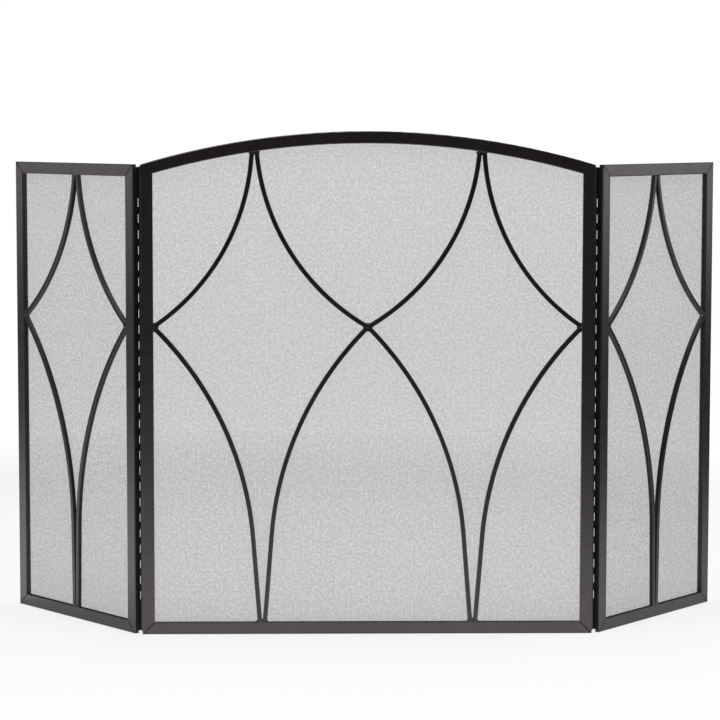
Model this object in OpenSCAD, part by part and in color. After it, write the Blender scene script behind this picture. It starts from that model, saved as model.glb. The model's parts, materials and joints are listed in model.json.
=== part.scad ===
// Three-panel folding fireplace screen in powder-coated steel: an arched centre panel with two
// rectangular side panels on continuous hinges. Each panel is a mitred, welded tube frame with
// a fine woven mesh behind bent square bars that make concave diamonds.
// The origin is on the floor, under the middle of the centre panel's bottom rail.
// +X runs along the centre panel, +Y to the back (the fire), +Z up.

/* [Centre panel] */
// Width over the two tube stiles
centre_w = 710; // [480:1:1000]
// Height of the stiles at the corners
stile_h = 741; // [500:1:1000]
// Rise of the arched top rail above the corners
arch_rise = 52; // [20:1:120]

/* [Side panels] */
// Width of each side panel over its frame
side_w = 305; // [200:1:340]
// Angle that each side panel is folded back from flat
fold_angle = 46; // [0:1:180]

/* [Frame tube] */
// Face width of the rectangular tube, seen from the front
tube_w = 19; // [12:0.5:30]
// Depth of the tube from front to back
tube_d = 8; // [7:0.5:15]
// Wall of the tube
tube_wall = 1; // [0.6:0.1:2]
// Outer corner radius of the tube
tube_r = 1.2; // [0.5:0.1:2]

/* [Bars] */
// Face width of the square bar
bar_w = 7; // [4:0.5:12]
// Depth of the square bar from front to back
bar_d = 7; // [4:0.5:12]
// Chamfer along the bar's edges
bar_edge = 0.6; // [0.2:0.1:1.2]
// Height of the side points of the diamonds, as a share of the stile height
point_share = 0.657; // [0.5:0.001:0.75]
// Distance of the centre panel's upper tips from its middle, as a share of half its width
top_tip_share = 0.5; // [0.35:0.005:0.65]
// Distance of the centre panel's lower tips from its middle, as a share of half its width
low_tip_share = 0.468; // [0.35:0.001:0.65]
// Distance of a side panel's upper tip from its hinge edge, as a share of its width
side_top_share = 0.48; // [0.4:0.005:0.6]
// Distance of a side panel's lower tip from its hinge edge, as a share of its width
side_low_share = 0.505; // [0.4:0.005:0.6]
// Bend radius of the upper bars
upper_r = 350; // [260:5:600]
// Bend radius of the lower bars
lower_r = 525; // [400:5:900]
// Lean of the straight lower ends of the centre panel's lower bars
tail_lean = 4.5; // [0:0.5:8]
// Lean of the straight lower ends of the side panels' lower bars
side_lean = 1; // [0:0.5:4]
// Gap between the two bars that share a tip
tip_gap = 0.9; // [0.3:0.1:4]

/* [Mesh] */
// Thickness of the woven mesh
mesh_t = 0.5; // [0.3:0.1:1.5]
// Distance from the frame's outer edge to the mesh's cut edge
mesh_inset = 5; // [3:0.5:8]
// Width of the flat strips that hold the mesh to the frame
strip_w = 12; // [8:0.5:14]
// Thickness of the flat strips
strip_t = 1.2; // [0.8:0.1:2]
// Distance from the frame's outer edge to the strip
strip_inset = 6; // [4:0.5:8]

/* [Hinges] */
// Thickness of the hinge leaves
leaf_t = 0.8; // [0.6:0.1:1.2]
// Diameter of the hinge pin
pin_d = 2; // [1.6:0.1:3]
// Outer diameter of the knuckles
knuckle_d = 3.7; // [3.4:0.1:6]
// Length of a knuckle, rounded so that a whole number fits
knuckle_len = 12.4; // [8:0.1:30]
// Distance of the pin behind the back of the frame
pin_back = 4.5; // [3.5:0.1:8]
// Distance from the ends of the stiles to the ends of the hinge
hinge_inset = 4; // [2:0.5:30]

/* [Hidden] */
$fn = 64;
half_w = centre_w / 2;
point_z = point_share * stile_h;
seam = 0.1;                       // gap left at mitres and where bars meet
big = 80;                         // size of the mitre cutters
lap = 2;                          // overlap of an arc and its straight tail
arch_r = (half_w * half_w + arch_rise * arch_rise) / (2 * arch_rise);
arch_z = stile_h + arch_rise - arch_r;
pin_y = tube_d / 2 + pin_back;
hinge_g = knuckle_d / 2 + 0.05;   // from the pin to the face of each stile
fit_play = 0.03;                  // radial running clearance of the pin
hinge_len = stile_h - 2 * hinge_inset;
knuckles = 2 * round((hinge_len / knuckle_len - 1) / 2) + 1;
pitch = hinge_len / knuckles;
end_gap = 0.3;                    // between the ends of neighbouring knuckles
notch = knuckle_d / 2 + 0.35;     // from the pin to the edge of the notch for a knuckle
end_pitches = 4;                  // length of the side leaf's long end knuckles, in pitches
leaf_edge = 0.5;                  // from the front of the frame to the leaf's front edge
bore_over = 1;                    // overrun of the pin's bore at each end of the hinge
head_h = 0.7;                     // height of the pin's peened heads
head_flare = 0.8;                 // how much wider than the pin the heads are
arc_steps = 180;                  // facets of a full turn on the bars, rails and strips
wide_steps = 360;                 // facets of a full turn on the cuts along the arch
round_steps = 48;                 // facets of the knuckles, bores and pins
arc_over = 1;                     // overrun of the arched rails past their mitres, in degrees
tail_trim = 0.01;                 // how much thinner a lower bar's tail is than its arc
tip_off = (bar_w + tip_gap) / 2;
top_tip_x = top_tip_share * half_w;
low_tip_x = low_tip_share * half_w;
steel = [0.27, 0.26, 0.27];
bar_steel = [0.24, 0.23, 0.24];
mesh_grey = [0.72, 0.72, 0.71];
hinge_black = [0.13, 0.13, 0.14];

// ---- sections ----

module rounded_section(w, d, r) {
  square([w - 2 * r, d], center = true);
  square([w, d - 2 * r], center = true);
  for (x = [-1, 1], y = [-1, 1]) translate([x * (w / 2 - r), y * (d / 2 - r)]) circle(r);
}

module tube_section() difference() {
  rounded_section(tube_w, tube_d, tube_r);
  square([tube_w - 2 * tube_wall, tube_d - 2 * tube_wall], center = true);
}

module strip_section() {
  translate([0, tube_d / 2 + mesh_t + strip_t / 2]) square([strip_w, strip_t], center = true);
}

// trim makes the section smaller all round
module bar_section(trim = 0) {
  a = bar_w / 2 - trim;
  b = bar_d / 2 - trim;
  c = bar_edge;
  polygon([[a - c, -b], [a, c - b], [a, b - c], [a - c, b],
           [c - a, b], [-a, b - c], [-a, c - b], [c - a, -b]]);
}

// ---- frame members and strips, which share the same mitred layout ----

// What lies above a plane through (x, z) that slopes down to the right at angle a
module above(x, z, a) translate([x, 0, z]) rotate([0, a, 0])
  translate([-big, -big / 2, -seam / 2]) cube([2 * big, big, big]);

// What lies below that plane
module below(x, z, a) translate([x, 0, z]) rotate([0, a, 0])
  translate([-big, -big / 2, seam / 2 - big]) cube([2 * big, big, big]);

module upright(x, z0, z1) translate([x, 0, z0]) linear_extrude(z1 - z0) children();

module level(x0, x1, z) translate([x0, 0, z]) rotate([0, 90, 0]) linear_extrude(x1 - x0) children();

// Height of the arch at distance x from the middle, on a curve set in by i
function arch_at(x, i) = arch_z + sqrt(pow(arch_r - i, 2) - x * x);

// Angle of the mitre between an arched rail and a stile, both set in by i and w wide
function arch_mitre(i, w) = atan((arch_at(half_w - i, i) - arch_at(half_w - i - w, i + w)) / w);

module centre_upright(side, i, w) {
  x = half_w - i;
  z = arch_at(x, i);
  mirror([side < 0 ? 1 : 0, 0, 0]) difference() {
    upright(x - w / 2, i, z) children();
    above(x, z, -arch_mitre(i, w));
    below(x, i, 45);
  }
}

module centre_level(i, w) difference() {
  level(i - half_w, half_w - i, i + w / 2) children();
  above(half_w - i, i, 45);
  above(i - half_w, i, -45);
}

module centre_arch(i, w) {
  x = half_w - i;
  z = arch_at(x, i);
  span = asin(x / (arch_r - i)) + arc_over;
  difference() {
    translate([0, 0, arch_z]) rotate([90, 0, 0]) rotate([0, 0, 90 - span])
      rotate_extrude(angle = 2 * span, $fn = arc_steps)
        translate([arch_r - i - w / 2, 0]) mirror([0, 1]) children();
    below(x, z, -arch_mitre(i, w));
    below(-x, z, arch_mitre(i, w));
  }
}

module side_upright(outer, i, w) {
  x = outer ? side_w - i : i;
  s = outer ? -1 : 1;
  difference() {
    upright(x + s * w / 2, i, stile_h - i) children();
    above(x, stile_h - i, s * 45);
    below(x, i, -s * 45);
  }
}

module side_level(top, i, w) {
  z = top ? stile_h - i : i;
  difference() {
    level(i, side_w - i, top ? z - w / 2 : z + w / 2) children();
    if (top) {
      below(i, z, 45);
      below(side_w - i, z, -45);
    } else {
      above(i, z, -45);
      above(side_w - i, z, 45);
    }
  }
}

// ---- bars: each starts at (0, 0) and ends at (run, rise), bowed towards the lower right ----

module bar_arc(centre, r, a0, a1) translate([centre[0], 0, centre[1]]) rotate([90, 0, 0])
  rotate([0, 0, a0]) rotate_extrude(angle = a1 - a0, $fn = arc_steps)
    translate([r, 0]) bar_section();

// One arc of radius r from end to end
module upper_bar(run, rise, r) {
  chord = norm([run, rise]);
  reach = sqrt(r * r - chord * chord / 4);
  c = [run / 2 - rise / chord * reach, rise / 2 + run / chord * reach];
  extra = 2 * bar_w / r * 180 / PI;
  bar_arc(c, r, atan2(-c[1], -c[0]) - extra, atan2(rise - c[1], run - c[0]) + extra);
}

// An arc of radius r, then a straight tail that leans by the angle lean. The tail starts a little
// inside the arc and is a hair thinner, so that the two make one solid.
module lower_bar(run, rise, r, lean) {
  n = [-cos(lean), sin(lean)];
  t = [sin(lean), cos(lean)];
  q = [run, rise] + r * n;
  along = -(q * t) + sqrt(r * r - pow(q * n, 2));
  c = q + along * t;
  extra = 2 * bar_w / r * 180 / PI;
  bar_arc(c, r, atan2(-c[1], -c[0]) - extra, -lean);
  join = c - r * n;
  translate([join[0], 0, join[1]]) rotate([0, lean, 0]) translate([0, 0, -lap])
    linear_extrude(norm([run, rise] - join) + lap + 2 * bar_w) bar_section(tail_trim);
}

// The space that a bar may fill: from its point to its tip line, up to the rail
module bar_room(run, rise) translate([0, -bar_d, seam / 2])
  cube([run + tip_gap / 2 + bar_w / 2, 2 * bar_d, rise - seam / 2]);

module side_bar(outer, top) {
  tip = (top ? side_top_share : side_low_share) * side_w;
  run = (outer ? side_w - tip : tip) - tube_w - tip_off;
  rise = top ? stile_h - tube_w - point_z : point_z - tube_w;
  translate([outer ? side_w - tube_w : tube_w, 0, point_z])
    mirror([outer ? 1 : 0, 0, 0]) mirror([0, 0, top ? 0 : 1]) intersection() {
      if (top) upper_bar(run, rise, upper_r);
      else lower_bar(run, rise, lower_r, side_lean);
      bar_room(run, rise);
    }
}

module centre_bar(side, outer, top) {
  tip = top ? top_tip_x : low_tip_x;
  run = (outer ? half_w - tube_w - tip : tip) - tip_off;
  rise = top ? arch_at(tip, tube_w) - point_z : point_z - tube_w;
  mirror([side < 0 ? 1 : 0, 0, 0]) intersection() {
    translate([outer ? half_w - tube_w : seam / 2, 0, point_z])
      mirror([outer ? 1 : 0, 0, 0]) mirror([0, 0, top ? 0 : 1]) intersection() {
        if (top) upper_bar(run, rise, upper_r);
        else lower_bar(run, rise, lower_r, tail_lean);
        bar_room(run, top ? rise + 2 * bar_w : rise);
      }
    if (top) translate([0, bar_d, arch_z]) rotate([90, 0, 0])
      cylinder(r = arch_r - tube_w, h = 2 * bar_d, $fn = wide_steps);
  }
}

// ---- mesh ----

module side_sheet() translate([mesh_inset, tube_d / 2, mesh_inset])
  cube([side_w - 2 * mesh_inset, mesh_t, stile_h - 2 * mesh_inset]);

module centre_sheet() intersection() {
  translate([mesh_inset - half_w, tube_d / 2, mesh_inset])
    cube([centre_w - 2 * mesh_inset, mesh_t, stile_h + arch_rise]);
  translate([0, tube_d, arch_z]) rotate([90, 0, 0])
    cylinder(r = arch_r - mesh_inset, h = 2 * tube_d, $fn = wide_steps);
}

// ---- hinges, drawn about the pin with the leaf on the left ----

// Plate against the stile's edge, from behind the frame's front to the pin
module hinge_plate() translate([-hinge_g, leaf_edge - tube_d - pin_back, hinge_inset])
  cube([leaf_t, tube_d + pin_back - leaf_edge, hinge_len]);

// A knuckle that starts k pitches up the hinge and is count pitches long
module knuckle(k, count) translate([0, 0, hinge_inset + k * pitch + end_gap / 2])
  cylinder(d = knuckle_d, h = count * pitch - end_gap, $fn = round_steps);

// Room in a plate for the other leaf's knuckle
module knuckle_room(k, count) translate([-2 * hinge_g, -notch, hinge_inset + k * pitch - end_gap / 2])
  cube([2 * hinge_g, 2 * knuckle_d, count * pitch + end_gap]);

module pin_bore() translate([0, 0, hinge_inset - bore_over])
  cylinder(r = pin_d / 2 + fit_play, h = hinge_len + 2 * bore_over, $fn = round_steps);

// The centre panel's leaf: the first and the last of the short knuckles are its own
module notched_end_leaf() difference() {
  union() {
    hinge_plate();
    for (k = [end_pitches : 2 : knuckles - 1 - end_pitches]) knuckle(k, 1);
  }
  for (k = [end_pitches + 1 : 2 : knuckles - 2 - end_pitches]) knuckle_room(k, 1);
  for (k = [0, knuckles - end_pitches]) knuckle_room(k, end_pitches);
  pin_bore();
}

// A side panel's leaf, with the long end knuckles
module long_end_leaf() difference() {
  union() {
    hinge_plate();
    for (k = [end_pitches + 1 : 2 : knuckles - 2 - end_pitches]) knuckle(k, 1);
    for (k = [0, knuckles - end_pitches]) knuckle(k, end_pitches);
  }
  for (k = [end_pitches : 2 : knuckles - 1 - end_pitches]) knuckle_room(k, 1);
  pin_bore();
}

module pin_head() cylinder(d1 = pin_d + head_flare, d2 = pin_d, h = head_h, $fn = round_steps);

module hinge_pin() translate([half_w + hinge_g, pin_y, hinge_inset]) {
  cylinder(d = pin_d, h = hinge_len, $fn = round_steps);
  mirror([0, 0, 1]) pin_head();
  translate([0, 0, hinge_len]) pin_head();
}

// ---- placing ----

// From a side panel's own place, flat beside the centre panel, to its folded place
module on_right() translate([half_w + hinge_g, pin_y, 0]) rotate([0, 0, fold_angle])
  translate([hinge_g, -pin_y, 0]) children();

module on_left() mirror([1, 0, 0]) on_right() children();

module centre_leaf() translate([half_w + hinge_g, pin_y, 0]) notched_end_leaf();

module side_leaf() translate([-hinge_g, pin_y, 0]) mirror([1, 0, 0]) long_end_leaf();

// ---- centre panel ----

module centre_left_stile() color(steel) centre_upright(-1, 0, tube_w) tube_section();
module centre_right_stile() color(steel) centre_upright(1, 0, tube_w) tube_section();
module centre_bottom_rail() color(steel) centre_level(0, tube_w) tube_section();
module centre_arch_rail() color(steel) centre_arch(0, tube_w) tube_section();
module centre_left_upper_outer_bar() color(bar_steel) centre_bar(-1, true, true);
module centre_left_upper_inner_bar() color(bar_steel) centre_bar(-1, false, true);
module centre_left_lower_outer_bar() color(bar_steel) centre_bar(-1, true, false);
module centre_left_lower_inner_bar() color(bar_steel) centre_bar(-1, false, false);
module centre_right_upper_outer_bar() color(bar_steel) centre_bar(1, true, true);
module centre_right_upper_inner_bar() color(bar_steel) centre_bar(1, false, true);
module centre_right_lower_outer_bar() color(bar_steel) centre_bar(1, true, false);
module centre_right_lower_inner_bar() color(bar_steel) centre_bar(1, false, false);
module centre_mesh() color(mesh_grey) centre_sheet();
module centre_left_strip() color(steel) centre_upright(-1, strip_inset, strip_w) strip_section();
module centre_right_strip() color(steel) centre_upright(1, strip_inset, strip_w) strip_section();
module centre_bottom_strip() color(steel) centre_level(strip_inset, strip_w) strip_section();
module centre_arch_strip() color(steel) centre_arch(strip_inset, strip_w) strip_section();

// ---- side panels, built once and placed on either side ----

module hinge_stile() color(steel) side_upright(false, 0, tube_w) tube_section();
module outer_stile() color(steel) side_upright(true, 0, tube_w) tube_section();
module top_rail() color(steel) side_level(true, 0, tube_w) tube_section();
module bottom_rail() color(steel) side_level(false, 0, tube_w) tube_section();
module upper_hinge_bar() color(bar_steel) side_bar(false, true);
module upper_outer_bar() color(bar_steel) side_bar(true, true);
module lower_hinge_bar() color(bar_steel) side_bar(false, false);
module lower_outer_bar() color(bar_steel) side_bar(true, false);
module side_mesh() color(mesh_grey) side_sheet();
module hinge_strip() color(steel) side_upright(false, strip_inset, strip_w) strip_section();
module outer_strip() color(steel) side_upright(true, strip_inset, strip_w) strip_section();
module top_strip() color(steel) side_level(true, strip_inset, strip_w) strip_section();
module bottom_strip() color(steel) side_level(false, strip_inset, strip_w) strip_section();
module left_hinge_centre_leaf() color(hinge_black) mirror([1, 0, 0]) centre_leaf();
module left_hinge_side_leaf() color(hinge_black) on_left() side_leaf();
module left_hinge_pin() color(hinge_black) mirror([1, 0, 0]) hinge_pin();
module right_hinge_centre_leaf() color(hinge_black) centre_leaf();
module right_hinge_side_leaf() color(hinge_black) on_right() side_leaf();
module right_hinge_pin() color(hinge_black) hinge_pin();

centre_left_stile();
centre_right_stile();
centre_bottom_rail();
centre_arch_rail();
centre_left_upper_outer_bar();
centre_left_upper_inner_bar();
centre_left_lower_outer_bar();
centre_left_lower_inner_bar();
centre_right_upper_outer_bar();
centre_right_upper_inner_bar();
centre_right_lower_outer_bar();
centre_right_lower_inner_bar();
centre_mesh();
centre_left_strip();
centre_right_strip();
centre_bottom_strip();
centre_arch_strip();
on_left() hinge_stile();  // left_hinge_stile
on_left() outer_stile();  // left_outer_stile
on_left() top_rail();  // left_top_rail
on_left() bottom_rail();  // left_bottom_rail
on_left() upper_hinge_bar();  // left_upper_hinge_bar
on_left() upper_outer_bar();  // left_upper_outer_bar
on_left() lower_hinge_bar();  // left_lower_hinge_bar
on_left() lower_outer_bar();  // left_lower_outer_bar
on_left() side_mesh();  // left_mesh
on_left() hinge_strip();  // left_hinge_strip
on_left() outer_strip();  // left_outer_strip
on_left() top_strip();  // left_top_strip
on_left() bottom_strip();  // left_bottom_strip
on_right() hinge_stile();  // right_hinge_stile
on_right() outer_stile();  // right_outer_stile
on_right() top_rail();  // right_top_rail
on_right() bottom_rail();  // right_bottom_rail
on_right() upper_hinge_bar();  // right_upper_hinge_bar
on_right() upper_outer_bar();  // right_upper_outer_bar
on_right() lower_hinge_bar();  // right_lower_hinge_bar
on_right() lower_outer_bar();  // right_lower_outer_bar
on_right() side_mesh();  // right_mesh
on_right() hinge_strip();  // right_hinge_strip
on_right() outer_strip();  // right_outer_strip
on_right() top_strip();  // right_top_strip
on_right() bottom_strip();  // right_bottom_strip
left_hinge_centre_leaf();
left_hinge_side_leaf();
left_hinge_pin();
right_hinge_centre_leaf();
right_hinge_side_leaf();
right_hinge_pin();
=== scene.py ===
"""Looks of a three-panel folding fireplace screen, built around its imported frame.

The welded tube frames, bent bars, strips and hinges come from the frame and are dressed here in
powder coat. The woven wire, the weld beads, the mitre seams and the spot welds are made here.
Everything is in metres, with the front of the screen facing -Y.
"""

import json
import logging
import math
import random
from dataclasses import dataclass, field
from enum import Enum
from typing import Any, Callable

import bmesh
import bpy
from mathutils import Matrix, Vector, noise

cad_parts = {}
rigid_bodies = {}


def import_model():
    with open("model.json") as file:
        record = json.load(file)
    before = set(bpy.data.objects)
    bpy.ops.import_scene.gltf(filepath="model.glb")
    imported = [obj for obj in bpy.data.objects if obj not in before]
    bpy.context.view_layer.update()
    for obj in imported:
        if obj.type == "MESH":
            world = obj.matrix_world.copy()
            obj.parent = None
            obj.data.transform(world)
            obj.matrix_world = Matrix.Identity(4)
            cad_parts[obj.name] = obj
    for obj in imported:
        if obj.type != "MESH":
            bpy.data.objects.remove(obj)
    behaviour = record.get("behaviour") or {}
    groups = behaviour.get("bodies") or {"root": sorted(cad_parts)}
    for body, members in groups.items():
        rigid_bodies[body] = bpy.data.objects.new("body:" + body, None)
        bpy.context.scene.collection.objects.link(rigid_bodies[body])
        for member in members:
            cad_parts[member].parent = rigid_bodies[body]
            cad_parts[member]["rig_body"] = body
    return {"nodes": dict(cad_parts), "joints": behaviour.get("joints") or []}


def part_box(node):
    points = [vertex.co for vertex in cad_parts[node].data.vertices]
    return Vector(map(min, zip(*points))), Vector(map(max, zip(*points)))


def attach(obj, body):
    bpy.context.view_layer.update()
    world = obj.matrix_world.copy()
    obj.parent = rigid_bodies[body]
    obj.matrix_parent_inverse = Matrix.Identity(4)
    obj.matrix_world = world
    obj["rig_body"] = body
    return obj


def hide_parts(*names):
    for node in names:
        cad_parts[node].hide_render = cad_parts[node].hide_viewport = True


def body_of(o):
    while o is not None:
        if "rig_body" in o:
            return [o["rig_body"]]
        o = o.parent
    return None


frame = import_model()

log = logging.getLogger("fireplace_screen")
Paint = tuple[float, float, float]
Colour = tuple[float, float, float, float]
MM = 0.001
WHITE: Paint = (1.0, 1.0, 1.0)


class Side(Enum):
    """The three panels of the screen; the value is the way along x that a panel runs from its hinge."""

    LEFT = -1
    CENTRE = 0
    RIGHT = 1

    @property
    def body(self) -> str:
        """The frame body that the panel is."""
        return f"{self.name.lower()}_panel"

    @property
    def word(self) -> str:
        """The first word of the panel's piece names."""
        return self.name.lower()


class Slot(Enum):
    """The record's material slots."""

    FRAME = "frame_steel"
    BAR = "bar_steel"
    STRIP = "strip_steel"
    MESH = "mesh_steel"
    HINGE = "hinge_steel"


# ---- sizes ----


@dataclass(frozen=True)
class Sizes:
    """What the pieces made here take from the frame, in metres and radians."""

    half_w: float
    stile_h: float
    tube_w: float
    tube_d: float
    arch_r: float
    arch_z: float
    side_w: float
    fold: float
    pin_x: float
    pin_y: float
    mesh_inset: float
    mesh_y: float
    strip_back: float
    strip_edge: float
    strip_w: float
    point_z: float
    top_tip: float
    low_tip: float
    side_top_tip: float
    side_low_tip: float
    bar_w: float

    @classmethod
    def from_frame(cls) -> "Sizes":
        """Works the sizes out from the boxes of the nodes and from the right joint.

        Returns:
            The sizes.
        """
        rail_lo, rail_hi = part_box("centre_bottom_rail")
        arch_lo, arch_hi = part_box("centre_arch_rail")
        top_lo, top_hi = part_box("right_top_rail")
        mesh_lo, mesh_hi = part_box("centre_mesh")
        strip_lo, strip_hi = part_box("centre_bottom_strip")
        joint = next(j for j in frame["joints"] if j["name"] == "right_fold")
        pin_x, pin_y = joint["pos_m"][:2]
        half_w = rail_hi.x
        stile_h = top_hi.z
        rise = arch_hi.z - stile_h
        arch_r = (half_w * half_w + rise * rise) / (2 * rise)
        tube_d = rail_hi.y - rail_lo.y
        fold = math.radians(-joint["range_deg"][0])
        upper_lo, upper_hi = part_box("centre_right_upper_outer_bar")
        upper_in_lo, upper_in_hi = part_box("centre_right_upper_inner_bar")
        lower_lo, lower_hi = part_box("centre_right_lower_outer_bar")
        lower_in_lo, lower_in_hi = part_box("centre_right_lower_inner_bar")

        def side_tip(level: str) -> float:
            """Distance from the right panel's hinge edge to the middle between two bars' tips.

            Args:
                level: "upper" or "lower".

            Returns:
                The distance, in the panel's own frame.
            """
            hinge_bar, outer_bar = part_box(f"right_{level}_hinge_bar"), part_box(f"right_{level}_outer_bar")
            reach = (hinge_bar[1].x + outer_bar[0].x) / 2 - pin_x - pin_y * math.sin(fold)
            return reach / math.cos(fold) - (pin_x - half_w)

        return cls(
            half_w=half_w,
            stile_h=stile_h,
            tube_w=rail_hi.z - rail_lo.z,
            tube_d=tube_d,
            arch_r=arch_r,
            arch_z=arch_hi.z - arch_r,
            side_w=(top_hi.x - top_lo.x - tube_d * math.sin(fold)) / math.cos(fold),
            fold=fold,
            pin_x=pin_x,
            pin_y=pin_y,
            mesh_inset=mesh_lo.z,
            mesh_y=(mesh_lo.y + mesh_hi.y) / 2,
            strip_back=strip_hi.y,
            strip_edge=strip_lo.z,
            strip_w=strip_hi.z - strip_lo.z,
            point_z=lower_hi.z,
            top_tip=(upper_lo.x + upper_in_hi.x) / 2,
            low_tip=(lower_lo.x + lower_in_hi.x) / 2,
            side_top_tip=side_tip("upper"),
            side_low_tip=side_tip("lower"),
            bar_w=lower_hi.y - lower_lo.y,
        )

    def arch_at(self, x: float, inset: float) -> float:
        """Height of the arch at distance x from the middle, on a curve set in by inset."""
        return self.arch_z + math.sqrt((self.arch_r - inset) ** 2 - x * x)


@dataclass(frozen=True)
class Place:
    """One panel's own frame: x along its width from the hinge, y to its back, z up."""

    side: Side
    matrix: Matrix
    lo: float
    hi: float
    depth_axis: Vector

    @classmethod
    def of(cls, side: Side, sizes: Sizes) -> "Place":
        """Finds the place of a panel at rest.

        Args:
            side: The panel.
            sizes: The screen's sizes.

        Returns:
            Its place; x runs from lo to hi, and to the left on the left panel.
        """
        if side is Side.CENTRE:
            return cls(side, Matrix.Identity(4), -sizes.half_w, sizes.half_w, Vector((0, 1, 0)))
        way = side.value
        turn = Matrix.Rotation(way * sizes.fold, 4, "Z")
        gap = sizes.pin_x - sizes.half_w
        matrix = (
            Matrix.Translation((way * sizes.pin_x, sizes.pin_y, 0))
            @ turn
            @ Matrix.Translation((way * gap, -sizes.pin_y, 0))
        )
        ends = sorted((0.0, way * sizes.side_w))
        return cls(side, matrix, ends[0], ends[1], turn @ Vector((0, 1, 0)))


# ---- shader nodes ----


@dataclass(frozen=True)
class Marks:
    """Marks made by noise.

    Attributes:
        lumps: How many there are to a metre.
        octaves: How much finer noise is added to them.
        fade: The noise at which they begin and at which they are full; plain noise without it.
    """

    lumps: float
    octaves: float
    fade: tuple[float, float] | None = None


class Value:
    """A number that changes over a surface, with arithmetic that adds Math nodes."""

    def __init__(self, nodes: "Nodes", socket: bpy.types.NodeSocket) -> None:
        """Wraps a socket of a node tree."""
        self.nodes = nodes
        self.socket = socket

    def math(self, operation: str, *others: Any) -> "Value":
        """Adds one Math node.

        Args:
            operation: The Math node's operation.
            others: The inputs after this one, values or numbers.

        Returns:
            The node's result.
        """
        inputs = dict(enumerate((self, *others)))
        node = self.nodes.add("ShaderNodeMath", {"operation": operation}, inputs)
        return Value(self.nodes, node.outputs[0])

    def __add__(self, other: Any) -> "Value":
        """Sum."""
        return self.math("ADD", other)

    def __sub__(self, other: Any) -> "Value":
        """Difference."""
        return self.math("SUBTRACT", other)

    def __rsub__(self, other: Any) -> "Value":
        """Reflected difference."""
        return (self * -1.0) + other

    def __mul__(self, other: Any) -> "Value":
        """Product."""
        return self.math("MULTIPLY", other)

    def band(self, low: float, high: float) -> "Value":
        """Smooth step from 0 at low to 1 at high."""
        node = self.nodes.add(
            "ShaderNodeMapRange",
            {"interpolation_type": "SMOOTHSTEP", "clamp": True},
            {"Value": self, "From Min": low, "From Max": high},
        )
        return Value(self.nodes, node.outputs["Result"])


class Nodes:
    """A node tree that is filled through one method."""

    mix_share = 0
    mix_first = 6
    mix_second = 7
    mix_result = 2

    def __init__(self, tree: bpy.types.NodeTree) -> None:
        """Empties the tree and keeps it."""
        self.tree = tree
        tree.nodes.clear()

    def add(
        self,
        kind: str,
        settings: dict[str, Any] | None = None,
        inputs: dict[str | int, Any] | None = None,
    ) -> bpy.types.Node:
        """Adds a node.

        Args:
            kind: The node's type name.
            settings: Its settings, such as an operation; "stops" are a ramp's places and colours.
            inputs: Values or links of its input sockets, by name or number.

        Returns:
            The node.
        """
        node = self.tree.nodes.new(kind)
        for name, setting in (settings or {}).items():
            if name == "stops":
                self._set_stops(node, setting)
            else:
                setattr(node, name, setting)
        for name, given in (inputs or {}).items():
            socket = node.inputs[name]
            if isinstance(given, Value):
                self.tree.links.new(given.socket, socket)
            elif isinstance(given, bpy.types.NodeSocket):
                self.tree.links.new(given, socket)
            else:
                socket.default_value = given
        return node

    @staticmethod
    def _set_stops(node: bpy.types.Node, stops: list[tuple[float, Colour]]) -> None:
        """Puts the stops on a colour ramp.

        Args:
            node: The ramp's node.
            stops: Place and colour of each stop, in order.
        """
        ramp = node.color_ramp
        while len(ramp.elements) > 1:
            ramp.elements.remove(ramp.elements[-1])
        ramp.elements[0].position, ramp.elements[0].color = stops[0]
        for place, colour in stops[1:]:
            ramp.elements.new(place).color = colour

    def value(self, node: bpy.types.Node, output: str | int = 0) -> Value:
        """One of a node's outputs, as a value."""
        return Value(self, node.outputs[output])

    def marks(self, coords: bpy.types.NodeSocket, marks: Marks) -> Value:
        """Marks over a surface.

        Args:
            coords: The coordinates that they are read at.
            marks: What they are like.

        Returns:
            How strong they are, from 0 to 1.
        """
        inputs = {"Vector": coords, "Scale": marks.lumps, "Detail": marks.octaves}
        noise_value = self.value(self.add("ShaderNodeTexNoise", {}, inputs), "Fac")
        return noise_value.band(*marks.fade) if marks.fade else noise_value

    def mix(self, share: Value | float, first: Any, second: Any) -> bpy.types.NodeSocket:
        """Mixes two colours.

        Args:
            share: How much of the second there is.
            first: A colour or a colour socket.
            second: A colour or a colour socket.

        Returns:
            The mixed colour's socket.
        """
        inputs = {self.mix_share: share, self.mix_first: first, self.mix_second: second}
        return self.add("ShaderNodeMix", {"data_type": "RGBA"}, inputs).outputs[self.mix_result]

    def part(self, vector: bpy.types.NodeSocket, axis: Vector) -> Value:
        """A vector's part along an axis."""
        node = self.add("ShaderNodeVectorMath", {"operation": "DOT_PRODUCT"}, {0: vector, 1: tuple(axis)})
        return self.value(node, "Value")

    def bump(self, height: Value, strength: float, depth: float) -> bpy.types.NodeSocket:
        """Raises a surface.

        Args:
            height: The relief, from 0 to 1.
            strength: How much of it shows.
            depth: How deep a relief of 1 is, in metres.

        Returns:
            The socket of the raised normal.
        """
        inputs = {"Height": height, "Strength": strength, "Distance": depth}
        return self.add("ShaderNodeBump", {}, inputs).outputs["Normal"]

    def coat(self, inputs: dict[str | int, Any]) -> None:
        """Ends the tree of a material in one coat, with these inputs."""
        self.surface(self.add("ShaderNodeBsdfPrincipled", {}, inputs))

    def surface(self, shader: bpy.types.Node) -> None:
        """Ends the tree of a material in a shader."""
        self.add("ShaderNodeOutputMaterial", {}, {"Surface": shader.outputs[0]})


def new_material(name: str) -> tuple[bpy.types.Material, Nodes]:
    """Makes a material with an empty node tree.

    Args:
        name: The material's name.

    Returns:
        The material and its nodes.
    """
    material = bpy.data.materials.new(name)
    material.use_nodes = True
    return material, Nodes(material.node_tree)


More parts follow.
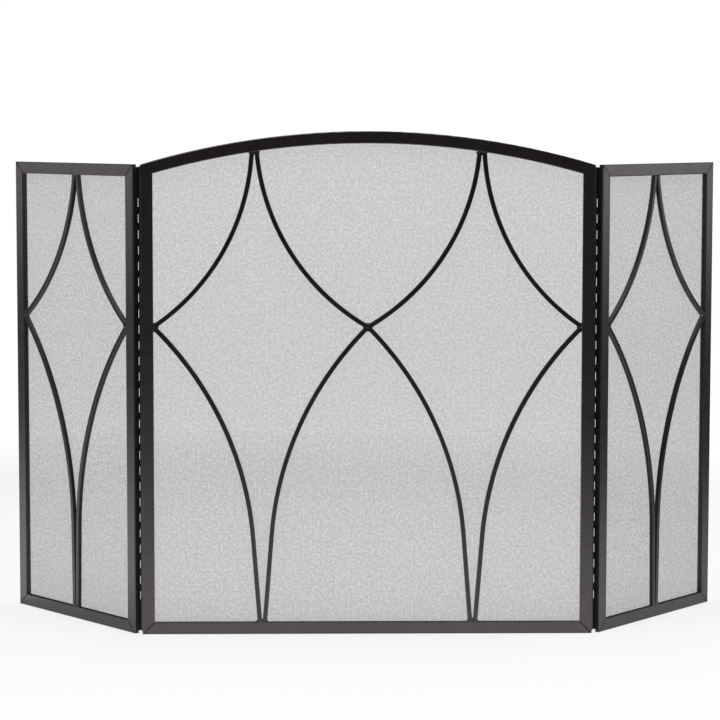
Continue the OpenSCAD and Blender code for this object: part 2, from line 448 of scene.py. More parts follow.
def shade(colour: Paint, factor: float = 1.0) -> Colour:
    """A colour with alpha, made lighter or darker."""
    return (colour[0] * factor, colour[1] * factor, colour[2] * factor, 1.0)


# ---- finishes ----


@dataclass(frozen=True)
class PowderCoat:
    """Satin gunmetal powder coat: orange peel, fine grain, a drifting tint, and edges lightened partly by
    rubbed wear and partly by a painted highlight.

    The shares say how strongly each mark shows in the colour, and the dulling and shine how far it
    moves the roughness.
    """

    base: Paint = (0.0088, 0.0066, 0.0080)
    warm: Paint = (0.0125, 0.0078, 0.0085)
    # Lighter tone of the rounded edges, partly rubbed wear and partly a painted highlight; the specks take
    # it lighter still.
    rubbed: Paint = (0.045, 0.042, 0.043)
    sheen: Paint = (1.0, 0.91, 0.965)
    roughness: float = 0.34
    gloss: float = 0.80
    peel: float = 0.30
    peel_depth: float = 0.12 * MM
    peel_share: float = 0.7
    drift: Marks = Marks(9.0, 3.0, (0.35, 0.70))
    blotch: Marks = Marks(70.0, 3.0)
    rub: Marks = Marks(160.0, 2.0, (0.35, 0.65))
    orange_peel: Marks = Marks(420.0, 1.0)
    specks: Marks = Marks(900.0, 0.0, (0.74, 0.80))
    grain: Marks = Marks(1300.0, 2.0)
    edge_fade: tuple[float, float] = (0.06, 0.26)
    blotch_fade: tuple[float, float] = (0.3, 0.75)
    blotch_share: float = 0.35
    blotch_shade: float = 0.6
    rub_share: float = 0.55
    speck_share: float = 0.5
    speck_shade: float = 1.6
    blotch_dulling: float = 0.16
    grain_dulling: float = 0.08
    rub_shine: float = 0.06

    def make(self, name: str, place: Place) -> bpy.types.Material:
        """Makes the material for one panel.

        Args:
            name: The material's name.
            place: The panel, whose depth axis tells faces from rounded edges.

        Returns:
            The material.
        """
        material, nodes = new_material(name)
        where = nodes.add("ShaderNodeTexCoord")
        coords = where.outputs["Object"]
        drift = nodes.marks(coords, self.drift)
        blotch = nodes.marks(coords, self.blotch)
        grain = nodes.marks(coords, self.grain)
        orange_peel = nodes.marks(coords, self.orange_peel)
        facing = nodes.part(where.outputs["Normal"], place.depth_axis).math("ABSOLUTE")
        across = (1.0 - facing * facing).math("MAXIMUM", 0.0).math("SQRT")
        # Rounded edges between the front and side faces, in patches: partly rubbed wear, partly a painted
        # highlight line.
        edge = (1.0 - facing.math("MAXIMUM", across)).band(*self.edge_fade)
        rub = edge * nodes.marks(coords, self.rub)
        specks = nodes.marks(coords, self.specks)
        darker = blotch.band(*self.blotch_fade) * self.blotch_share
        colour = nodes.mix(drift, shade(self.base), shade(self.warm))
        colour = nodes.mix(darker, colour, shade(self.base, self.blotch_shade))
        # Edges lightened: rubbed wear plus a painted highlight.
        colour = nodes.mix(rub * self.rub_share, colour, shade(self.rubbed))
        colour = nodes.mix(specks * self.speck_share, colour, shade(self.rubbed, self.speck_shade))
        relief = orange_peel * self.peel_share + grain * (1.0 - self.peel_share)
        least = self.roughness - (self.blotch_dulling + self.grain_dulling) / 2
        dulling = blotch * self.blotch_dulling + grain * self.grain_dulling
        nodes.coat(
            {
                "Base Color": colour,
                "Roughness": dulling + least - rub * self.rub_shine,
                "Specular IOR Level": self.gloss,
                "Specular Tint": shade(self.sheen),
                "Normal": nodes.bump(relief, self.peel, self.peel_depth),
            }
        )
        return material


@dataclass(frozen=True)
class WireFinish:
    """Dark painted wire, with the crimp of the weave at each crossing, and a painted highlight on the crimp
    crests.
    """

    pitch: float
    low: Paint = (0.008, 0.0075, 0.008)
    high: Paint = (0.360, 0.352, 0.356)
    roughness: float = 0.38
    relief: float = 0.5
    depth: float = 0.1 * MM
    patches: Marks = Marks(35.0, 3.0)
    chips: Marks = Marks(250.0, 1.5, (0.42, 0.66))
    # Share of the crimp wave in the colour: a painted highlight on the crests.
    crimp_share: float = 0.10
    patch_share: float = 0.10
    chip_share: float = 0.80
    patch_dulling: float = 0.2

    def make(self, name: str) -> bpy.types.Material:
        """Makes the material.

        Args:
            name: The material's name.

        Returns:
            The material; the wires' own coordinates are their panel's.
        """
        material, nodes = new_material(name)
        coords = nodes.add("ShaderNodeTexCoord").outputs["Object"]
        place = nodes.add("ShaderNodeSeparateXYZ", {}, {0: coords})
        turn = math.pi / self.pitch
        waves = [(nodes.value(place, n) * turn).math("SINE") for n in ("X", "Z")]
        crimp = (waves[0] * waves[1]) * 0.5 + 0.5
        patches = nodes.marks(coords, self.patches)
        chips = nodes.marks(coords, self.chips)
        # Lighter on the crimp crests as a painted highlight; the patches and chips are real wear of the
        # paint.
        bare_and_crest_highlight = crimp * self.crimp_share + patches * self.patch_share + chips * self.chip_share
        colour = nodes.mix(bare_and_crest_highlight, shade(self.low), shade(self.high))
        nodes.coat(
            {
                "Base Color": colour,
                "Roughness": patches * self.patch_dulling + self.roughness,
                "Normal": nodes.bump(crimp, self.relief, self.depth),
            }
        )
        return material


@dataclass(frozen=True)
class WeldFinish:
    """Coated weld metal: darker and rougher than the tube, with ripples lightened on their crests by a
    painted highlight, and spatter drops lightened partly as real spatter and partly as painted glints.

    The spatter is the noise above which there are drops: the lower, the more of them.
    """

    base: Paint = (0.0075, 0.0064, 0.0070)
    # Light colour of the spatter drops: partly real spatter, partly painted glints.
    bright: Paint = (0.42, 0.40, 0.41)
    spatter: float = 0.62
    gloss: float = 0.60
    roughness: float = 0.58
    relief: float = 0.6
    depth: float = 0.4 * MM
    ripples: Marks = Marks(650.0, 3.0)
    ripple_share: float = 0.6
    ripple_shade: float = 2.6
    drop_lumps: float = 420.0
    drop_edge: float = 0.05
    drop_relief: float = 0.5
    drop_shine: float = 0.3

    def make(self, name: str) -> bpy.types.Material:
        """Makes the material.

        Args:
            name: The material's name.

        Returns:
            The material.
        """
        material, nodes = new_material(name)
        coords = nodes.add("ShaderNodeTexCoord").outputs["Object"]
        ripples = nodes.marks(coords, self.ripples)
        drop_marks = Marks(self.drop_lumps, 1.0, (self.spatter, self.spatter + self.drop_edge))
        drops_and_glints = nodes.marks(coords, drop_marks)
        # Ripple crests made lighter: a painted highlight.
        lit = ripples * self.ripple_share
        colour = nodes.mix(lit, shade(self.base), shade(self.base, self.ripple_shade))
        # Spatter drops lightened: partly real spatter, partly painted glints.
        colour = nodes.mix(drops_and_glints, colour, shade(self.bright))
        nodes.coat(
            {
                "Base Color": colour,
                "Roughness": self.roughness - drops_and_glints * self.drop_shine,
                "Specular IOR Level": self.gloss,
                "Normal": nodes.bump(ripples + drops_and_glints * self.drop_relief, self.relief, self.depth),
            }
        )
        return material


@dataclass(frozen=True)
class HingeBlack:
    """Near-black coat on the hinges, worn in streaks where the knuckles turn on each other."""

    base: Paint = (0.0090, 0.0078, 0.0086)
    worn: Paint = (0.036, 0.034, 0.034)
    roughness: float = 0.36
    gloss: float = 0.70
    relief: float = 0.25
    depth: float = 0.1 * MM
    patches: Marks = Marks(60.0, 3.0, (0.45, 0.65))
    streaks: Marks = Marks(900.0, 2.0, (0.52, 0.72))
    grain: Marks = Marks(1400.0, 2.0)
    streak_squeeze: float = 0.12
    wear: float = 0.8
    patch_dulling: float = 0.1

    def make(self, name: str) -> bpy.types.Material:
        """Makes the material.

        Args:
            name: The material's name.

        Returns:
            The material.
        """
        material, nodes = new_material(name)
        coords = nodes.add("ShaderNodeTexCoord").outputs["Object"]
        squeeze = {0: coords, 1: (1.0, 1.0, self.streak_squeeze)}
        drawn = nodes.add("ShaderNodeVectorMath", {"operation": "MULTIPLY"}, squeeze)
        streaks = nodes.marks(drawn.outputs["Vector"], self.streaks)
        patches = nodes.marks(coords, self.patches)
        grain = nodes.marks(coords, self.grain)
        colour = nodes.mix(streaks * patches * self.wear, shade(self.base), shade(self.worn))
        nodes.coat(
            {
                "Base Color": colour,
                "Roughness": patches * self.patch_dulling + self.roughness,
                "Specular IOR Level": self.gloss,
                "Normal": nodes.bump(grain, self.relief, self.depth),
            }
        )
        return material


@dataclass(frozen=True)
class PaleFloor:
    """Matt white studio floor that brightens into the white surround at its rim.

    A share of its light is its own: lit in the middle, and all of it past glow_to metres.
    """

    paint: Paint = (0.86, 0.86, 0.86)
    lit: float = 0.72
    glow: float = 1.02
    glow_from: float = 0.9
    glow_to: float = 2.0
    roughness: float = 0.9
    mottle: Marks = Marks(6.0, 4.0)
    mottle_shade: float = 0.97
    mottle_share: float = 0.25

    def make(self, name: str) -> bpy.types.Material:
        """Makes the material.

        Args:
            name: The material's name.

        Returns:
            The material.
        """
        material, nodes = new_material(name)
        coords = nodes.add("ShaderNodeTexCoord").outputs["Object"]
        reach = nodes.add("ShaderNodeVectorMath", {"operation": "LENGTH"}, {0: coords})
        rim = nodes.value(reach, "Value").band(self.glow_from, self.glow_to)
        share = rim * (1.0 - self.lit) + self.lit
        mottle = nodes.marks(coords, self.mottle) * self.mottle_share
        colour = nodes.mix(mottle, shade(self.paint), shade(self.paint, self.mottle_shade))
        look = {"Base Color": colour, "Roughness": self.roughness}
        matt = nodes.add("ShaderNodeBsdfPrincipled", {}, look)
        white = {"Color": shade(WHITE), "Strength": self.glow}
        light = nodes.add("ShaderNodeEmission", {}, white)
        both = {0: share, 1: matt.outputs[0], 2: light.outputs[0]}
        nodes.surface(nodes.add("ShaderNodeMixShader", {}, both))
        return material


# ---- making pieces ----


@dataclass
class Shape:
    """Points and faces of a piece, collected part by part."""

    points: list[Vector] = field(default_factory=list)
    faces: list[tuple[int, ...]] = field(default_factory=list)

    def sweep(self, path: list[Vector], rings: Callable[[int], list[Vector]]) -> None:
        """Adds a closed tube along a path.

        Args:
            path: The points that it follows.
            rings: Gives, for each point of the path, the section round it, as offsets in order.
        """
        first = len(self.points)
        for n, point in enumerate(path):
            self.points += [point + offset for offset in rings(n)]
        count = (len(self.points) - first) // len(path)
        for n in range(len(path) - 1):
            a = first + n * count
            for k in range(count):
                b = a + (k + 1) % count
                self.faces.append((a + k, b, b + count, a + k + count))
        end = first + (len(path) - 1) * count
        self.faces.append(tuple(range(first + count - 1, first - 1, -1)))
        self.faces.append(tuple(range(end, end + count)))

    def lathe(self, centre: Vector, profile: list[tuple[float, float]], turns: int) -> None:
        """Adds a closed turned shape, about the depth direction.

        Args:
            centre: The middle of its foot.
            profile: Radius and height of each ring from the foot's rim to the top, without the tip.
            turns: Points round a ring.
        """
        first = len(self.points)
        for radius, height in profile:
            for k in range(turns):
                angle = 2 * math.pi * k / turns
                offset = Vector((radius * math.cos(angle), height, radius * math.sin(angle)))
                self.points.append(centre + offset)
        for n in range(len(profile) - 1):
            a = first + n * turns
            for k in range(turns):
                b = a + (k + 1) % turns
                self.faces.append((a + k, a + k + turns, b + turns, b))
        end = first + (len(profile) - 1) * turns
        self.faces.append(tuple(range(first, first + turns)))
        self.faces.append(tuple(range(end + turns - 1, end - 1, -1)))


def add_piece(
    name: str,
    mesh: bpy.types.Mesh,
    place: Place,
    material: bpy.types.Material,
    smooth: bool = True,
) -> bpy.types.Object:
    """Puts a finished mesh in the scene as a piece of one panel.

    Args:
        name: The piece's name.
        mesh: Its mesh, in the panel's own frame.
        place: The panel.
        material: Its finish.
        smooth: Whether its faces are shaded smooth.

    Returns:
        The piece.
    """
    mesh.name = name
    mesh.materials.clear()
    mesh.materials.append(material)
    if smooth:
        mesh.shade_smooth()
    piece = bpy.data.objects.new(name, mesh)
    bpy.context.scene.collection.objects.link(piece)
    piece.matrix_world = place.matrix
    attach(piece, place.side.body)
    log.info("%s: %d faces, rides on %s", name, len(mesh.polygons), place.side.body)
    return piece


def mesh_of(shape: Shape) -> bpy.types.Mesh:
    """Turns a collected shape into a mesh whose faces look outwards."""
    mesh = bpy.data.meshes.new("shape")
    mesh.from_pydata(shape.points, [], shape.faces)
    shell = bmesh.new()
    shell.from_mesh(mesh)
    bmesh.ops.recalc_face_normals(shell, faces=shell.faces)
    shell.to_mesh(mesh)
    shell.free()
    return mesh


@dataclass
class WireWeave:
    """The woven wire behind one panel's bars, cut to the panel's outline.

    The upright and the level wires lie a layer's share of the wire's thickness either side of the
    middle.
    """

    place: Place
    sizes: Sizes
    finish: bpy.types.Material
    pitch: float = 1.0 * MM
    wire_w: float = 0.27 * MM
    wire_t: float = 0.16 * MM
    wander: float = 0.06 * MM
    layer: float = 0.4

    def top_at(self, x: float) -> float:
        """Height of the cut edge at x."""
        if self.place.side is Side.CENTRE:
            return self.sizes.arch_at(x, self.sizes.mesh_inset)
        return self.sizes.stile_h - self.sizes.mesh_inset

    def reach_at(self, z: float, lo: float, hi: float) -> tuple[float, float]:
        """Ends of the level wire at height z, between the panel's edges lo and hi."""
        if self.place.side is not Side.CENTRE:
            return lo, hi
        radius = self.sizes.arch_r - self.sizes.mesh_inset
        half = math.sqrt(max(radius**2 - (z - self.sizes.arch_z) ** 2, 0.0))
        return max(lo, -half), min(hi, half)

    def section(self, across: Vector) -> list[Vector]:
        """The flattened section of a wire whose width runs along across."""
        u, v = across * self.wire_w / 2, Vector((0, self.wire_t / 2, 0))
        return [u, u * 0.5 + v, v - u * 0.5, -u, -v - u * 0.5, u * 0.5 - v]

    def build(self) -> bpy.types.Object:
        """Weaves the wires and puts them in the place of the frame's plain sheet.

        Returns:
            The piece.
        """
        draw = random.Random(f"weave {self.place.side.word}")
        shape = Shape()
        inset = self.sizes.mesh_inset
        lo, hi = self.place.lo + inset, self.place.hi - inset
        step = Vector((0, self.wire_t * self.layer, 0))
        level = Vector((0, self.sizes.mesh_y, 0))
        upright_section = self.section(Vector((1, 0, 0)))
        for n in range(round((hi - lo) / self.pitch)):
            x = lo + (n + 0.5) * self.pitch + draw.uniform(-self.wander, self.wander)
            ends = [level - step + Vector((x, 0, z)) for z in (inset, self.top_at(x))]
            shape.sweep(ends, lambda _: upright_section)
        level_section = self.section(Vector((0, 0, 1)))
        for n in range(round((self.top_at(0.0) - inset) / self.pitch)):
            z = inset + (n + 0.5) * self.pitch + draw.uniform(-self.wander, self.wander)
            ends = [level + step + Vector((x, 0, z)) for x in self.reach_at(z, lo, hi)]
            if ends[1].x - ends[0].x > self.pitch:
                shape.sweep(ends, lambda _: level_section)
        mesh = bpy.data.meshes.new("weave")
        mesh.from_pydata(shape.points, [], shape.faces)
        piece = add_piece(f"{self.place.side.word}_wire_weave", mesh, self.place, self.finish)
        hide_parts(f"{self.place.side.word}_mesh")
        return piece


@dataclass(frozen=True)
class Lobe:
    """One lump of a weld: its middle in the panel's own frame, its radius and how it is stretched."""

    x: float
    y: float
    z: float
    radius: float
    stretch: tuple[float, float, float] = (1.0, 1.0, 1.0)

    @property
    def middle(self) -> Vector:
        """Its middle as a point."""
        return Vector((self.x, self.y, self.z))


@dataclass
class Welds:
    """The weld beads where one panel's bars meet its frame and each other."""

    place: Place
    sizes: Sizes
    finish: bpy.types.Material
    voxel: float = 0.35 * MM
    roughness: float = 0.45 * MM
    lumpiness: float = 900.0
    spread: float = 3000.0

    def bead(self, name: str, lobes: list[Lobe]) -> bpy.types.Object:
        """Melts lumps into one irregular bead.

        Args:
            name: The piece's name, after the panel's.
            lobes: The lumps.

        Returns:
            The piece.
        """
        blob = bmesh.new()
        for lobe in lobes:
            made = bmesh.ops.create_icosphere(blob, subdivisions=3, radius=lobe.radius)
            for vertex in made["verts"]:
                swell = noise.noise(vertex.co * self.lumpiness + lobe.middle * self.spread)
                vertex.co += vertex.co.normalized() * swell * self.roughness
                vertex.co = Vector(a * b for a, b in zip(vertex.co, lobe.stretch))
                vertex.co += lobe.middle
        mesh = bpy.data.meshes.new("bead")
        blob.to_mesh(mesh)
        blob.free()
        holder = bpy.data.objects.new("bead_mould", mesh)
        bpy.context.scene.collection.objects.link(holder)
        melt = holder.modifiers.new("melt", "REMESH")
        melt.mode = "VOXEL"
        melt.voxel_size = self.voxel
        ease = holder.modifiers.new("ease", "SMOOTH")
        ease.factor, ease.iterations = 0.5, 3
        graph = bpy.context.evaluated_depsgraph_get()
        melted = bpy.data.meshes.new_from_object(holder.evaluated_get(graph))
        bpy.data.objects.remove(holder)
        return add_piece(f"{self.place.side.word}_{name}", melted, self.place, self.finish)

    def tip(self, name: str, x: float, z: float, up: int) -> bpy.types.Object:
        """The beads where two bars end side by side on a rail.

        Args:
            name: The piece's name, after the panel's.
            x: The middle between the bars.
            z: The rail's inner face.
            up: 1 where the rail is above, -1 where it is below.

        Returns:
            The piece.
        """
        draw = random.Random(f"{self.place.side.word} {name}")
        size = self.sizes.bar_w
        # Along the rail in bar widths, depth and radius in mm; two lie over the bars' middles
        lumps = (
            (-1.10, -1.1, 1.8),
            (-0.62, -2.4, 1.5),
            (0.0, -1.1, 1.9),
            (0.58, -2.4, 1.6),
            (1.12, -1.1, 1.7),
        )
        lobes = []
        for shift, front, radius in lumps:
            lobes.append(
                Lobe(
                    x + shift * size + draw.uniform(-0.5, 0.5) * MM,
                    front * MM + draw.uniform(-0.3, 0.5) * MM,
                    z - up * draw.uniform(0.3, 1.2) * MM,
                    radius * draw.uniform(0.9, 1.15) * MM,
                    (1.25, 1.0, 0.85),
                )
            )
        lobes.append(Lobe(x, 1.2 * MM, z - up * 1.2 * MM, 2.6 * MM, (3.1, 1.0, 0.7)))
        web = draw.uniform(1.5, 1.9)
        lobes.append(Lobe(x, -1.2 * MM, z - up * 2.8 * MM, 1.6 * MM, (0.8, 1.3, web)))
        return self.bead(name, lobes)

    def point(self, name: str, x: float, inward: int) -> bpy.types.Object:
        """The beads where two bars meet in a point on a stile.

        Args:
            name: The piece's name, after the panel's.
            x: The stile's inner face.
            inward: 1 where the bars run towards +x, else -1.

        Returns:
            The piece.
        """
        draw = random.Random(f"{self.place.side.word} {name}")
        z = self.sizes.point_z
        crotch, face = draw.uniform(-0.4, 0.4), draw.uniform(-1.0, 1.0)
        # Distance from the stile, depth, height from the point and radius in mm, and the stretch
        lumps = (
            (1.3, -1.5, 5.2, 1.9, (0.9, 1.1, 1.3)),
            (1.1, -1.3, -5.6, 1.8, (0.9, 1.1, 1.4)),
            (6.4, -1.2, crotch, 2.3, (1.2, 1.0, 0.8)),
            (1.6, -2.9, face, 1.3, (1.0, 0.9, 2.2)),
            (1.0, 1.4, 0.0, 2.2, (0.8, 1.0, 3.0)),
        )
        lobes = [
            Lobe(x + inward * dx * MM, y * MM, z + dz * MM, radius * MM, stretch)
            for dx, y, dz, radius, stretch in lumps
        ]
        return self.bead(name, lobes)

    def crossing(self) -> bpy.types.Object:
        """The beads that web the corners where the centre panel's four bars meet.

        Returns:
            The piece.
        """
        z = self.sizes.point_z
        lobes = [
            Lobe(0.0, -0.4 * MM, z, 3.4 * MM, (1.0, 0.98, 1.0)),
            Lobe(-5.6 * MM, -0.6 * MM, z - 0.4 * MM, 2.2 * MM, (1.0, 1.2, 1.0)),
            Lobe(5.6 * MM, -0.6 * MM, z - 0.2 * MM, 2.2 * MM, (1.0, 1.2, 1.0)),
            Lobe(0.2 * MM, -0.5 * MM, z + 4.9 * MM, 2.3 * MM, (1.5, 1.1, 0.8)),
            Lobe(-0.3 * MM, -0.5 * MM, z - 5.6 * MM, 2.2 * MM, (1.3, 1.1, 0.9)),
            Lobe(0.5 * MM, 2.2 * MM, z, 2.6 * MM, (1.8, 0.6, 1.6)),
        ]
        return self.bead("crossing_weld", lobes)

    def build(self) -> list[bpy.types.Object]:
        """Makes every bead of the panel.

        Returns:
            The pieces.
        """
        sizes = self.sizes
        made = []
        if self.place.side is Side.CENTRE:
            for word, way in (("left", -1), ("right", 1)):
                top = sizes.arch_at(sizes.top_tip, sizes.tube_w)
                made.append(self.tip(f"{word}_top_weld", way * sizes.top_tip, top, 1))
                made.append(self.tip(f"{word}_bottom_weld", way * sizes.low_tip, sizes.tube_w, -1))
                made.append(self.point(f"{word}_point_weld", way * (sizes.half_w - sizes.tube_w), -way))
            made.append(self.crossing())
            return made
        way = self.place.side.value
        top = sizes.stile_h - sizes.tube_w
        made.append(self.tip("top_weld", way * sizes.side_top_tip, top, 1))
        made.append(self.tip("bottom_weld", way * sizes.side_low_tip, sizes.tube_w, -1))
        made.append(self.point("hinge_point_weld", way * sizes.tube_w, way))
        made.append(self.point("outer_point_weld", way * (sizes.side_w - sizes.tube_w), -way))
        return made


@dataclass
class MitreSeams:
    """The ground-down weld lines across the mitred corners of one panel, front and back."""

    place: Place
    sizes: Sizes
    finish: bpy.types.Material
    seam_w: float = 1.6 * MM
    proud: float = 0.10 * MM
    round_edge: float = 1.3 * MM
    steps: int = 36

    def corners(self, inset: float, width: float) -> list[tuple[Vector, Vector]]:
        """Outer and inner ends of each mitre of a layer set in by inset and width wide."""
        sizes, found = self.sizes, []
        for x, way in ((self.place.lo + inset, 1), (self.place.hi - inset, -1)):
            inner = x + way * width
            found.append((Vector((x, 0, inset)), Vector((inner, 0, inset + width))))
            if self.place.side is Side.CENTRE:
                tops = (sizes.arch_at(x, inset), sizes.arch_at(inner, inset + width))
            else:
                tops = (sizes.stile_h - inset, sizes.stile_h - inset - width)
            found.append((Vector((x, 0, tops[0])), Vector((inner, 0, tops[1]))))
        return found

    def line(self, shape: Shape, start: Vector, end: Vector, face: float, draw: random.Random) -> None:
        """Adds one low bead with an uneven edge.

        Args:
            shape: What it is added to.
            start: Its outer end.
            end: Its inner end.
            face: The y of the face that it lies on.
            draw: The panel's random numbers.
        """
        along = (end - start).normalized()
        side = Vector((along.z, 0, -along.x))
        out = Vector((0, math.copysign(1.0, face), 0))
        path = [start.lerp(end, n / self.steps) + out * abs(face) for n in range(self.steps + 1)]
        widths = [self.seam_w / 2 * draw.uniform(0.75, 1.25) for _ in path]
        heights = [self.proud * draw.uniform(0.6, 1.2) for _ in path]

        def ring(n: int) -> list[Vector]:
            """Section at step n of the path."""
            w, h = side * widths[n], out * heights[n]
            return [w, w * 0.6 + h * 0.8, h, h * 0.8 - w * 0.6, -w, -h]

        shape.sweep(path, ring)

    def build(self) -> bpy.types.Object:
        """Makes the seams.

        Returns:
            The piece.
        """
        draw = random.Random(f"seams {self.place.side.word}")
        sizes, shape = self.sizes, Shape()
        for start, end in self.corners(0.0, sizes.tube_w):
            short = (end - start).normalized() * self.round_edge
            self.line(shape, start + short, end - short, -sizes.tube_d / 2, draw)
        for start, end in self.corners(sizes.strip_edge, sizes.strip_w):
            self.line(shape, start, end, sizes.strip_back, draw)
        name = f"{self.place.side.word}_mitre_seams"
        return add_piece(name, mesh_of(shape), self.place, self.finish)


@dataclass
class SpotWelds:
    """The pressed rings that spot welding left on the strips behind one panel.

    The profile is the radius and height of each step of a ring, in mm.
    """

    place: Place
    sizes: Sizes
    finish: bpy.types.Material
    spacing: float = 92 * MM
    start: float = 10 * MM
    turns: int = 24
    profile: tuple[tuple[float, float], ...] = (
        (3.2, -0.10), (3.1, 0.02), (2.6, 0.20), (2.1, 0.24), (1.7, 0.12), (1.2, 0.04), (0.5, 0.02),
    )

    def build(self) -> bpy.types.Object:
        """Makes the rings on every strip.

        Returns:
            The piece.
        """
        sizes, shape = self.sizes, Shape()
        middle = sizes.strip_edge + sizes.strip_w / 2
        profile = [(r * MM, h * MM) for r, h in self.profile]
        lo, hi = self.place.lo + middle, self.place.hi - middle
        spots: list[tuple[float, float]] = []
        for n in range(1, int(sizes.stile_h / self.spacing) + 1):
            spots += [(x, (n - 0.5) * self.spacing + self.start) for x in (lo, hi)]
        count = int((hi - lo) / self.spacing)
        for n in range(1, count + 1):
            x = lo + (hi - lo) * n / (count + 1)
            top = sizes.arch_at(x, middle) if self.place.side is Side.CENTRE else sizes.stile_h - middle
            spots += [(x, middle), (x, top)]
        for x, z in spots:
            shape.lathe(Vector((x, sizes.strip_back, z)), profile, self.turns)
        name = f"{self.place.side.word}_spot_welds"
        return add_piece(name, mesh_of(shape), self.place, self.finish)


@dataclass
class SteelDress:
    """The finishes of the steel that comes from the frame."""

    places: dict[Side, Place]
    coats: dict[Slot, PowderCoat]
    hinge: HingeBlack

    def side_of(self, node: str) -> Side:
        """The panel whose body holds a node."""
        body = body_of(frame["nodes"][node])[0]
        return next(side for side in Side if side.body == body)

    def slot_of(self, node: str) -> Slot:
        """The slot that a node's name belongs to."""
        words = (("leaf", Slot.HINGE), ("pin", Slot.HINGE), ("strip", Slot.STRIP), ("bar", Slot.BAR))
        return next((slot for word, slot in words if node.endswith(word)), Slot.FRAME)

    def build(self) -> None:
        """Dresses every steel node."""
        made: dict[tuple[Slot, Side], bpy.types.Material] = {}
        for node, piece in sorted(frame["nodes"].items()):
            if node.endswith("mesh"):
                continue
            key = (self.slot_of(node), self.side_of(node))
            if key not in made:
                name = f"{key[1].word}_{key[0].value}"
                if key[0] is Slot.HINGE:
                    made[key] = self.hinge.make(name)
                else:
                    made[key] = self.coats[key[0]].make(name, self.places[key[1]])
            piece.data.materials.clear()
            piece.data.materials.append(made[key])
            log.info("%s: dressed in %s", node, made[key].name)


# ---- studio ----


@dataclass(frozen=True)
class Softbox:
    """A large soft lamp: where it stands, what it is turned to, its size and its power."""

    name: str
    place: tuple[float, float, float]
    target: tuple[float, float, float]
    width: float
    height: float
    watts: float

    def build(self) -> bpy.types.Object:
        """Hangs the lamp.

        Returns:
            The lamp's object.
        """
        data = bpy.data.lights.new(self.name, "AREA")
        data.shape = "RECTANGLE"
        data.size, data.size_y = self.width, self.height
        data.energy = self.watts
        lamp = bpy.data.objects.new(self.name, data)
        bpy.context.scene.collection.objects.link(lamp)
        lamp.location = self.place
        aim = Vector(self.target) - Vector(self.place)
        lamp.rotation_euler = aim.to_track_quat("-Z", "Y").to_euler()
        lamp.visible_camera = False
        return lamp


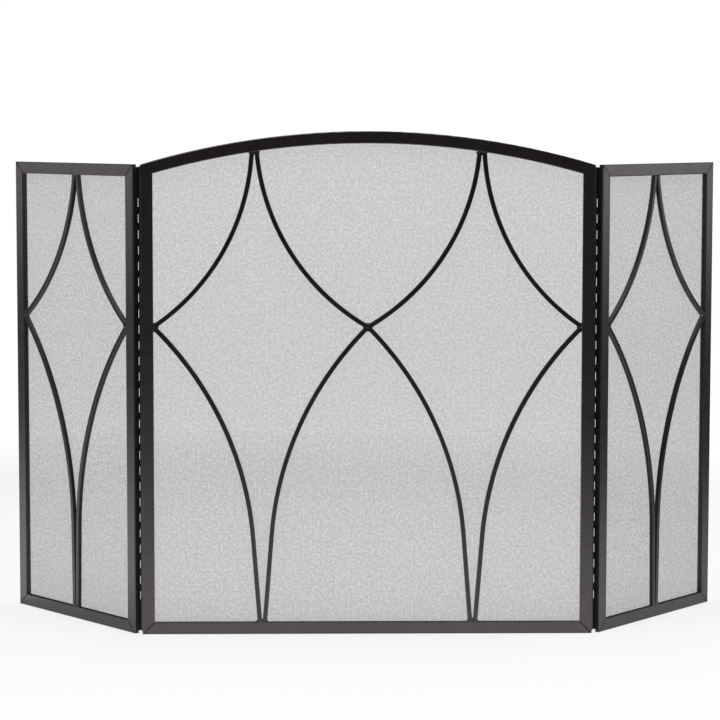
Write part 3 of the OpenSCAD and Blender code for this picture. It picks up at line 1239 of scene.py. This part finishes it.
@dataclass(frozen=True)
class Studio:
    """Pale floor, white surround, soft lamps and the camera, which is turned in degrees."""

    floor_radius: float = 1.75
    floor_middle: tuple[float, float, float] = (-0.25, 0.50, -0.0002)
    surround: float = 1.02
    room: float = 0.035
    softboxes: tuple[Softbox, ...] = (
        Softbox("overhead", (0.0, -0.2, 2.6), (0.0, 0.0, 0.0), 3.0, 3.0, 90.0),
        Softbox("left_wall", (-2.4, 0.2, 1.30), (-0.4, 0.2, 1.30), 1.6, 1.6, 11.0),
        Softbox("right_wall", (2.4, 0.15, 1.30), (0.4, 0.15, 1.30), 1.6, 1.6, 15.0),
        Softbox("front_card", (0.0, -0.40, 0.002), (0.0, -0.40, 1.0), 2.0, 0.8, 2.9),
        Softbox("left_card", (-1.35, -0.1, 0.003), (-1.35, -0.1, 1.0), 1.5, 1.5, 6.0),
    )
    camera_place: tuple[float, float, float] = (-0.0710, -3.4032, 0.8100)
    pitch_down: float = 4.320
    turn_right: float = 0.983
    roll: float = -0.075
    sensor_w: float = 36.0
    focal_share: float = 3.0312
    lift: float = -0.1042

    def floor(self) -> None:
        """Lays the floor disc."""
        disc = bmesh.new()
        bmesh.ops.create_circle(disc, cap_ends=True, segments=128, radius=self.floor_radius)
        mesh = bpy.data.meshes.new("studio_floor")
        disc.to_mesh(mesh)
        disc.free()
        mesh.materials.append(PaleFloor().make("pale_floor"))
        floor = bpy.data.objects.new("studio_floor", mesh)
        bpy.context.scene.collection.objects.link(floor)
        floor.location = self.floor_middle

    def surround_light(self) -> None:
        """Makes the room: white where it is seen directly, dim where it only lights the steel."""
        world = bpy.data.worlds.new("studio")
        world.use_nodes = True
        bpy.context.scene.world = world
        nodes = Nodes(world.node_tree)
        seen = nodes.add("ShaderNodeLightPath").outputs["Is Camera Ray"]
        colour = shade(WHITE)
        dim = nodes.add("ShaderNodeBackground", {}, {"Color": colour, "Strength": self.room})
        white = nodes.add("ShaderNodeBackground", {}, {"Color": colour, "Strength": self.surround})
        both = nodes.add("ShaderNodeMixShader", {}, {0: seen, 1: dim.outputs[0], 2: white.outputs[0]})
        nodes.add("ShaderNodeOutputWorld", {}, {"Surface": both.outputs[0]})

    def camera(self) -> None:
        """Stands the camera in front of the screen."""
        data = bpy.data.cameras.new("camera")
        data.sensor_width = self.sensor_w
        data.lens = self.focal_share * data.sensor_width
        data.shift_y = self.lift
        data.dof.use_dof = False
        camera = bpy.data.objects.new("camera", data)
        bpy.context.scene.collection.objects.link(camera)
        camera.matrix_world = (
            Matrix.Translation(self.camera_place)
            @ Matrix.Rotation(math.radians(-self.turn_right), 4, "Z")
            @ Matrix.Rotation(math.radians(-self.pitch_down), 4, "X")
            @ Matrix.Rotation(math.radians(self.roll), 4, "Y")
            @ Matrix.Rotation(math.radians(90), 4, "X")
        )
        bpy.context.scene.camera = camera

    def build(self) -> None:
        """Sets up the whole studio."""
        self.floor()
        self.surround_light()
        for softbox in self.softboxes:
            softbox.build()
        self.camera()
        bpy.context.scene.view_settings.view_transform = "Standard"
        log.info("studio: %d softboxes", len(self.softboxes))


def main() -> None:
    """Builds the studio, dresses the steel and makes the pieces of each panel."""
    logging.basicConfig(level=logging.INFO, format="%(name)s: %(message)s")
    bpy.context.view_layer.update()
    Studio().build()
    sizes = Sizes.from_frame()
    places = {side: Place.of(side, sizes) for side in Side}
    coats = {
        Slot.FRAME: PowderCoat(),
        Slot.BAR: PowderCoat(base=(0.0036, 0.0030, 0.0034), gloss=0.56, peel=0.35),
        Slot.STRIP: PowderCoat(roughness=0.42, peel=0.2),
    }
    SteelDress(places, coats, HingeBlack()).build()
    weave_finish = WireFinish(WireWeave.pitch).make("wire_finish")
    weld_finish = WeldFinish().make("weld_finish")
    seam_finish = WeldFinish(base=(0.004, 0.0034, 0.0037), spatter=0.76, gloss=0.2, relief=0.35)
    seam_material = seam_finish.make("seam_finish")
    spot_finish = WeldFinish(base=(0.011, 0.009, 0.010), spatter=0.74, relief=0.3)
    spot_material = spot_finish.make("spot_finish")
    for place in places.values():
        WireWeave(place, sizes, weave_finish).build()
        Welds(place, sizes, weld_finish).build()
        MitreSeams(place, sizes, seam_material).build()
        SpotWelds(place, sizes, spot_material).build()


if __name__ == "__main__":
    main()
